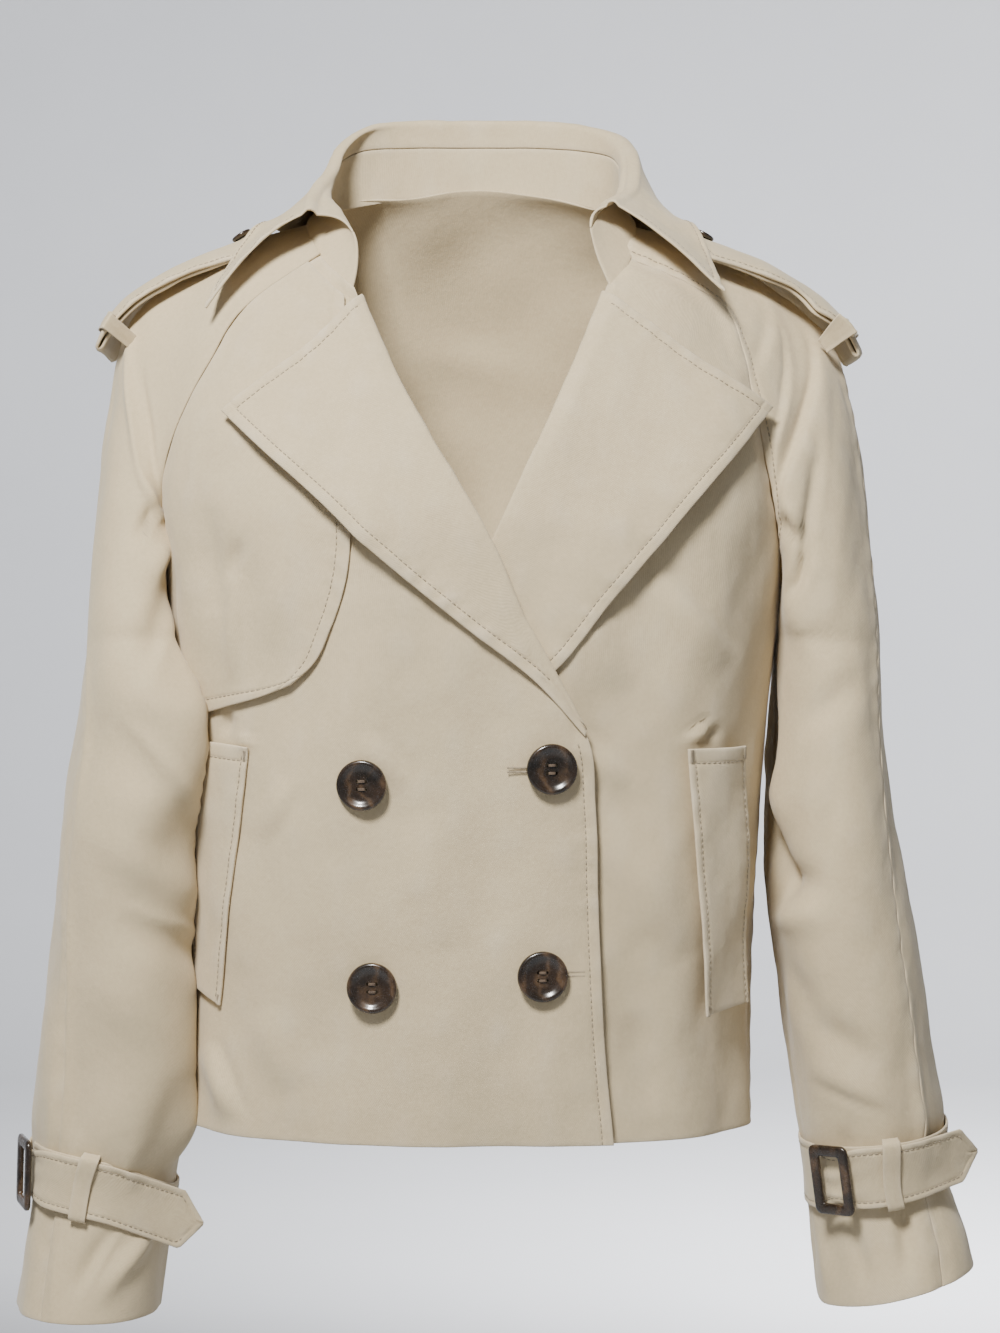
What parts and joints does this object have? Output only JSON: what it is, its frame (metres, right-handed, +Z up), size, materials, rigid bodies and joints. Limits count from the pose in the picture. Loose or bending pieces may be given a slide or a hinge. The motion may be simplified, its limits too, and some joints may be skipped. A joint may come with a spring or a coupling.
{
  "type": "cropped trench coat",
  "caption": "Worn-shape cropped double-breasted raglan trench coat with open lapels, turned collar, storm flap, epaulettes and strapped cuffs, hollow inside.",
  "frame": {"origin": "centre of the neck hole, level with the side neck point, where the wearer's neck and shoulders hold the coat", "axes": "+Z up, +X towards the wearer's left, the front faces -Y"},
  "size_m": [0.5674, 0.2543, 0.7217],
  "materials": {
    "stone_twill": "matte cotton twill",
    "dark_horn": "polished dark brown horn look"
  },
  "bodies": {
    "root": {"front_right": "stone_twill", "front_left": "stone_twill", "back": "stone_twill", "sleeve_right_front": "stone_twill", "sleeve_right_back": "stone_twill", "sleeve_left_front": "stone_twill", "sleeve_left_back": "stone_twill", "lapel_right": "stone_twill", "lapel_left": "stone_twill", "gun_flap": "stone_twill", "welt_right": "stone_twill", "welt_left": "stone_twill", "collar_stand": "stone_twill", "collar_leaf": "stone_twill", "epaulette_right": "stone_twill", "epaulette_left": "stone_twill", "epaulette_loop_right": "stone_twill", "epaulette_loop_left": "stone_twill", "epaulette_button_right": "dark_horn", "epaulette_button_left": "dark_horn", "cuff_strap_right": "stone_twill", "cuff_strap_left": "stone_twill", "cuff_loop_right": "stone_twill", "cuff_loop_left": "stone_twill", "cuff_buckle_right": "dark_horn", "cuff_buckle_left": "dark_horn", "button_right_top": "dark_horn", "button_right_low": "dark_horn", "button_left_top": "dark_horn", "button_left_low": "dark_horn"}
  },
  "joints": []
}
